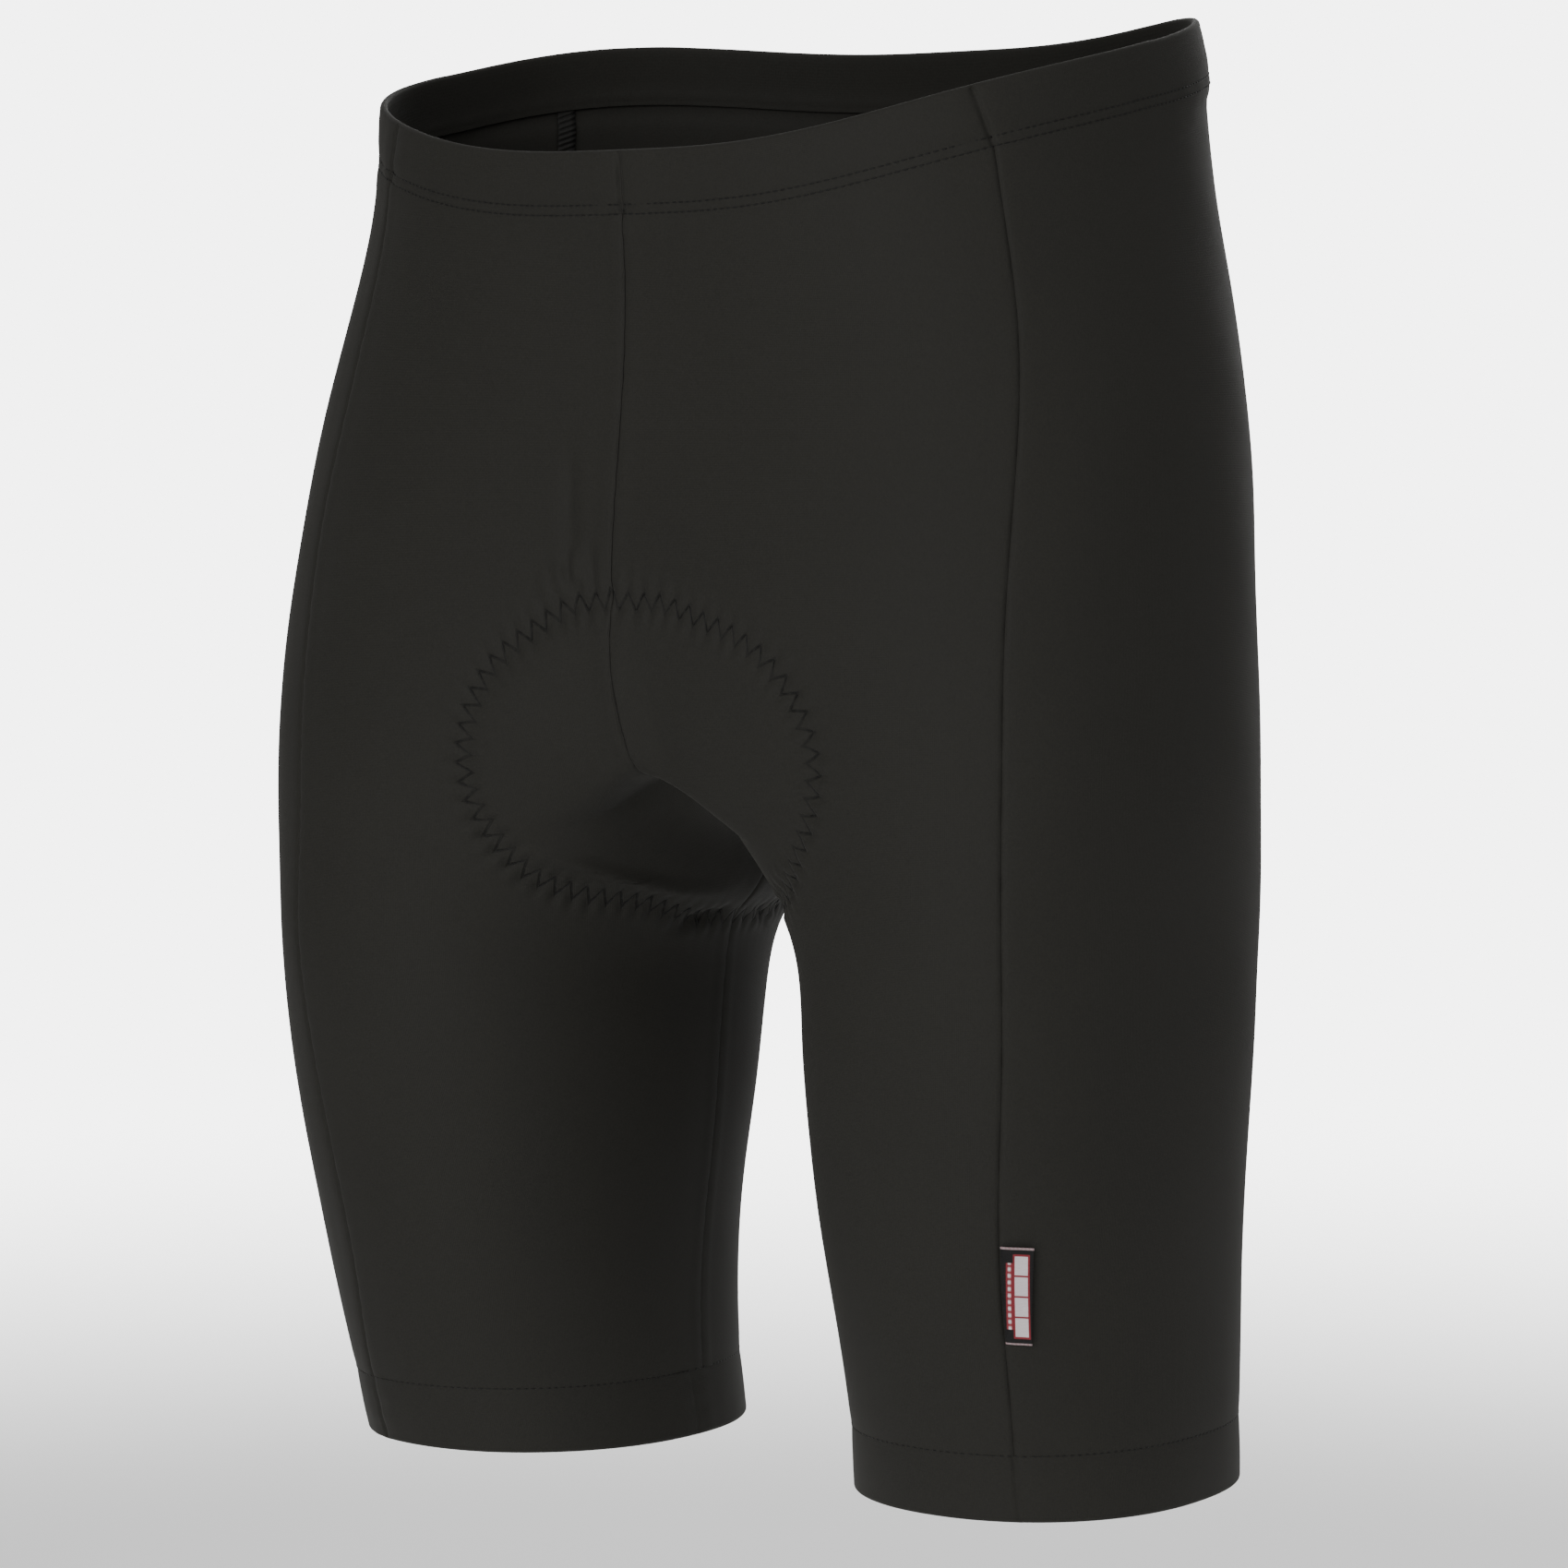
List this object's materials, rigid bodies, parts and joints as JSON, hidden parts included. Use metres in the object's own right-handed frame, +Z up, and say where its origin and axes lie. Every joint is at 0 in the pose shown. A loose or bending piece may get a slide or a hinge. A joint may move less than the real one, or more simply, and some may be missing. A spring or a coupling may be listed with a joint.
{
  "type": "cycling shorts",
  "caption": "Close-fitting knee-length black cycling shorts with seat pad, turned elastic waist and gripper hems, in worn shape and empty inside.",
  "frame": {"origin": "on the centre line of the figure, level with the front of the waistband, where the wearer's waist holds the shorts", "axes": "+Z up towards the waist opening; the wearer faces -Y and the wearer's left is +X"},
  "size_m": [0.3382, 0.217, 0.4715],
  "materials": {
    "knit": "smooth satin-matte stretch knit, near black",
    "foam": "matte brushed pad cover, dark grey",
    "tape": "woven label tape, black with pale and red threads"
  },
  "bodies": {
    "root": {"front_panel_left": "knit", "front_panel_right": "knit", "side_panel_left": "knit", "side_panel_right": "knit", "back_panel_left": "knit", "back_panel_right": "knit", "waistband": "knit", "hem_left": "knit", "hem_right": "knit", "pad": "foam", "side_label": "tape"}
  },
  "joints": []
}
